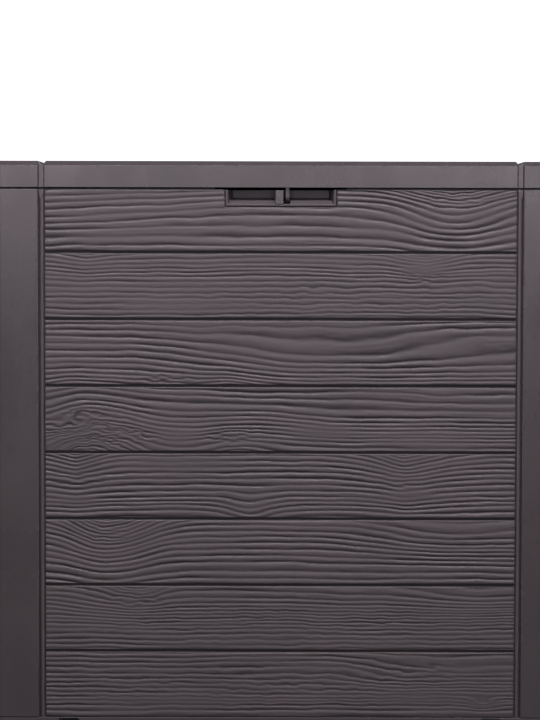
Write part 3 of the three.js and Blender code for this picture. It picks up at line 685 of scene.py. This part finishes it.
def make_sheet(name, wall):
    place, opening, _ = WALLS[wall]
    reach = opening + 12
    b = opening - 6.1
    # section across the panel: flat behind the planks, a rounded bead beside them, a tongue into the post
    side = [(b, 3.3), (b + 0.1, 3.9), (b + 0.75, 3.9), (b + 1.0, 2.75), (b + 1.5, 2.35), (b + 2.2, 2.2), (b + 3.0, 2.2),
            (b + 3.7, 2.35), (b + 4.15, 2.75), (b + 4.4, 3.9), (reach, 3.9)]
    outline = [(-x, v) for x, v in reversed(side)] + side + [(reach, SHEET_V1), (-reach, SHEET_V1)]
    o = prism(name, outline, Z0, Z1, lambda a, c, z: spot(place, a, c, z))
    join = [prism("f", [(-(opening - 1), 5.0), (opening - 1, 5.0), (opening - 1, 10.0), (-(opening - 1), 10.0)], Z1 - 3, Z1,
                  lambda a, c, z: spot(place, a, c, z))]
    for k in (-1, 1):
        # small web between post and planks at the top of the bead
        tri = [(k * (b + 0.3), Z1 - 0.8), (k * (b + 5.6), Z1 - 0.8), (k * (b + 4.2), Z1 - 9.4)]
        join.append(prism("g", tri, 1.5, 3.6, lambda a, c, v: spot(place, a, v, c)))
    combine(o, join, "UNION")
    cuts = []
    if wall == "front":
        cuts.append(prism("c", [(-SCOOP_X, -1), (SCOOP_X, -1), (SCOOP_X, 5.7), (-SCOOP_X, 5.7)], Z1 - SCOOP_T, Z1 + 1,
                          lambda a, c, z: spot(place, a, c, z)))
        cuts.append(prism("c", [(-62, 5.5), (62, 5.5), (62, 12), (-62, 12)], Z1 - 4, Z1 + 1,
                          lambda a, c, z: spot(place, a, c, z)))
    if wall == "rear":
        for x in HINGES:
            cuts.append(prism("c", [(x - HINGE_NOTCH, -1), (x + HINGE_NOTCH, -1), (x + HINGE_NOTCH, 12), (x - HINGE_NOTCH, 12)],
                              HINGE_NOTCH_Z, Z1 + 1, lambda a, c, z: spot(place, a, c, z)))
            for dx in (-18, 18):
                ring = [(x + dx + 2.1 * math.cos(i * math.pi / 8), 498 + 2.1 * math.sin(i * math.pi / 8)) for i in range(16)]
                cuts.append(prism("c", ring, 3.5, 7.5, lambda a, c, v: spot(place, a, v, c)))
    if cuts:
        combine(o, cuts, "DIFFERENCE")
    fix_normals(o)
    o.data.materials.clear()
    o.data.materials.append(M_SHEET)
    o.data.materials.append(M_GROOVE_SHADE)
    face = np.array(spot(place, 0, 3.3, 100)) * MM
    out = (np.array(spot(place, 0, 0, 100)) - np.array(spot(place, 0, 1, 100)))
    for f in o.data.polygons:      # painted shade: the recessed strips of sheet seen between the planks and beside the bead get the near-black groove resin
        level = np.dot(np.array(f.center) - face, out)
        if (abs(level) < 1e-5 or abs(level + 0.6 * MM) < 1e-5) and np.dot(np.array(f.normal), out) > 0.9:
            f.material_index = 1
    finish_edges(o, 0.22, 2, 34, dissolve=True)
    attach(o, "box")
    return o


def plank_levels():
    grooves = [FIRST_GROOVE - i * PITCH for i in range(7)]
    tops = [Z1] + [g - GROOVE / 2 for g in grooves]
    ends = [g + GROOVE / 2 for g in grooves] + [Z0]
    return list(zip(tops, ends))


def make_wall(wall, row_gap, col_gap, groups):
    place, opening, material = WALLS[wall]
    half = opening - MARGIN
    sheet = make_sheet(wall + "_panel_sheet", wall)
    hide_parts(wall + "_panel")
    levels = plank_levels()
    for gi, group in enumerate(groups):
        parts = []
        for i in group:
            top, low = levels[i]
            notches = ()
            if wall == "front" and i == 0:
                notches = ((-SCOOP_X - 0.4, SCOOP_X + 0.4, SCOOP_T + 0.8),)
            if wall == "rear" and i == 0:
                notches = tuple((x - HINGE_NOTCH, x + HINGE_NOTCH, Z1 - HINGE_NOTCH_Z) for x in sorted(HINGES))
            spec = FRONT_GRAIN[i] if wall == "front" else random_grain({"rear": 300, "right": 400, "left": 500}[wall] + i, half, top - low)
            plank_mesh(parts, half, top, top - low, spec, row_gap, col_gap, notches)
        name = wall + "_panel_planks" + ("" if len(groups) == 1 else "_" + ("upper", "lower")[gi])
        zt, zb = levels[group[0]][0], levels[group[-1]][1]
        o = planks_object(name, parts, place, (-half, half, zb, zt), material)
        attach(o, "box")
        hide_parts(wall + "_panel")


make_wall("front", 0.76, 2.1, [range(0, 4), range(4, 8)])
make_wall("rear", 1.0, 3.0, [range(0, 8)])
make_wall("right", 1.0, 2.6, [range(0, 8)])
make_wall("left", 1.0, 2.6, [range(0, 8)])


# ------------------------------------------------------------------------ lid top
TOP_X = 222.4
TOP_Y0, TOP_Y1 = Y_FRONT + 11, Y_REAR - 11
LID_TOP_Z = lid_hi[2]
TOP_FLOOR = LID_TOP_Z - 2.2


def make_lid_top():
    cutter = box_solid("lid_top_cutter", -TOP_X, TOP_X, TOP_Y0, TOP_Y1, TOP_FLOOR, LID_TOP_Z + 4)
    cutter.hide_render = True
    cutter.hide_viewport = True
    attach(cutter, "lid")
    count = 6
    gap = 2.4
    span = TOP_Y1 - TOP_Y0
    width = (span - (count + 1) * gap) / count
    parts = []
    for i in range(count):
        # the plank's own frame: x along, depth below the lid's top, level runs from rear to front
        top = TOP_Y1 - gap - i * (width + gap)
        spec = random_grain(700 + i, TOP_X - 2.4, width)
        plank_mesh(parts, TOP_X - 2.4, top, width, spec, 1.0, 3.0,
                   face=0.1, floor=2.2, back=2.7)
    o = planks_object("lid_top_planks", parts, lambda x, v, z: np.stack([x, z, LID_TOP_Z - v], -1),
                      (-TOP_X, TOP_X, TOP_Y0, TOP_Y1), M_PLANK_X)
    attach(o, "lid")
    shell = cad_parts["lid_shell"]
    m = shell.modifiers.new("top_well", "BOOLEAN")
    m.operation = "DIFFERENCE"
    m.solver = "EXACT"
    m.object = cutter
    return cutter


def dress(node, material, width, segments=2, angle=30, dissolve=True):
    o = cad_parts[node]
    o.data.materials.clear()
    o.data.materials.append(material)
    finish_edges(o, width, segments, angle, dissolve)
    return o


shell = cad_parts["lid_shell"]
w = shell.modifiers.new("weld0", "WELD")
w.merge_threshold = 2e-5
make_lid_top()
dress("lid_shell", M_SMOOTH, 0.45, 3, 28)
for sx in ("left", "right"):
    for sy in ("front", "rear"):
        dress("corner_post_%s_%s" % (sy, sx), M_SMOOTH, 0.7, 3, 35)
dress("base_tray", M_BASE, 0.5, 2, 35, dissolve=False)
dress("handle_scoop", M_INNER, 0.6, 2, 30)
dress("lock_eye_body", M_SMOOTH, 0.7, 3, 35)
dress("lock_eye_lid", M_SMOOTH, 0.6, 3, 35)
dress("lid_liner", M_INNER, 0.5, 2, 35, dissolve=False)
for sx in ("left", "right"):
    dress("hinge_bracket_" + sx, M_BASE, 0.35, 2, 35)
    dress("hinge_leaf_" + sx, M_BASE, 0.35, 2, 35)
    dress("hinge_pin_" + sx, M_STEEL, 0.3, 2, 35)
    for s in ("inner", "outer"):
        dress("bracket_screw_%s_%s" % (sx, s), M_STEEL, 0.12, 1, 35)
        dress("leaf_screw_%s_%s" % (sx, s), M_STEEL, 0.12, 1, 35)


# -------------------------------------------------------------------- the setting
floor = solid("floor", [(-6000, -6000, 0), (6000, -6000, 0), (6000, 6000, 0), (-6000, 6000, 0)], [[0, 1, 2, 3]])
floor.data.materials.append(stone_floor("pale_floor"))

world = bpy.data.worlds.new("studio")
bpy.context.scene.world = world
world.use_nodes = True
wn = world.node_tree
wn.nodes.clear()
out = wn.nodes.new("ShaderNodeOutputWorld")
mixer = wn.nodes.new("ShaderNodeMixShader")
paths = wn.nodes.new("ShaderNodeLightPath")
dim = wn.nodes.new("ShaderNodeBackground")
white = wn.nodes.new("ShaderNodeBackground")
dim.inputs[0].default_value = (0.95, 0.97, 1.0, 1)
dim.inputs[1].default_value = 0.05
white.inputs[0].default_value = (1, 1, 1, 1)
white.inputs[1].default_value = 1.2
wn.links.new(paths.outputs["Is Camera Ray"], mixer.inputs[0])
wn.links.new(dim.outputs[0], mixer.inputs[1])
wn.links.new(white.outputs[0], mixer.inputs[2])
wn.links.new(mixer.outputs[0], out.inputs[0])


def softbox(name, at, aim, size_x, size_y, power, colour=(1, 1, 1)):
    light = bpy.data.lights.new(name, "AREA")
    light.shape = "RECTANGLE"
    light.size, light.size_y = size_x, size_y
    light.energy = power
    light.color = colour
    o = bpy.data.objects.new(name, light)
    bpy.context.scene.collection.objects.link(o)
    o.location = at
    d = (Vector(aim) - Vector(at)).normalized()
    o.rotation_euler = d.to_track_quat("-Z", "Y").to_euler()
    o.visible_camera = False
    return o


softbox("key_left", (-0.62, -1.55, 1.02), (-0.1, -0.2, 0.50), 0.75, 0.75, 1.6)
softbox("key_right", (0.66, -1.55, 1.02), (0.1, -0.2, 0.50), 0.75, 0.75, 1.9)
softbox("upper", (0.0, -0.88, 1.42), (0, -0.2, 0.42), 1.5, 0.26, 18)
softbox("overhead", (0.0, 1.0, 1.9), (0, 0, 0.5), 1.4, 0.8, 4)
softbox("strip_left", (-0.60, -2.3, 0.72), (-0.2, -0.2, 0.5), 0.6, 0.32, 2.5)
softbox("strip_middle", (0.0, -2.3, 0.72), (0, -0.2, 0.5), 0.6, 0.32, 1.8)
softbox("strip_right", (0.62, -2.3, 0.72), (0.2, -0.2, 0.5), 0.6, 0.32, 3.1)
softbox("rear_left", (-1.3, 2.0, 1.25), (0, 0.1, 0.3), 1.1, 0.9, 15)
softbox("rear_right", (1.5, 1.8, 1.0), (0, 0.1, 0.3), 0.8, 0.9, 9)
softbox("rim_left", (-1.7, -0.50, 0.45), (-0.2, -0.15, 0.35), 0.14, 1.0, 4.5)
softbox("rim_right", (1.7, -0.50, 0.45), (0.2, -0.15, 0.35), 0.14, 1.0, 4.5)
softbox("side_left", (-2.1, 0.0, 1.0), (-0.2, 0, 0.35), 0.6, 1.3, 8)
softbox("side_right", (2.1, 0.0, 1.0), (0.2, 0, 0.35), 0.6, 1.3, 8)

cam = bpy.data.cameras.new("camera")
cam.sensor_fit = "AUTO"
cam.sensor_width = 36.0
cam.lens = 133.6
cam.shift_x = -0.0146
cam.shift_y = 0.0426
cam.clip_start = 0.05
camera = bpy.data.objects.new("camera", cam)
bpy.context.scene.collection.objects.link(camera)
turn = Matrix.Rotation(math.radians(90 - 3.259), 4, "X") @ Matrix.Rotation(math.radians(0.129), 4, "Z")
camera.matrix_world = Matrix.Translation((0.0, -2.820, 0.475)) @ turn
bpy.context.scene.camera = camera
bpy.context.scene.view_settings.view_transform = "Standard"
bpy.context.scene.view_settings.look = "None"
bpy.context.scene.view_settings.exposure = 0.0
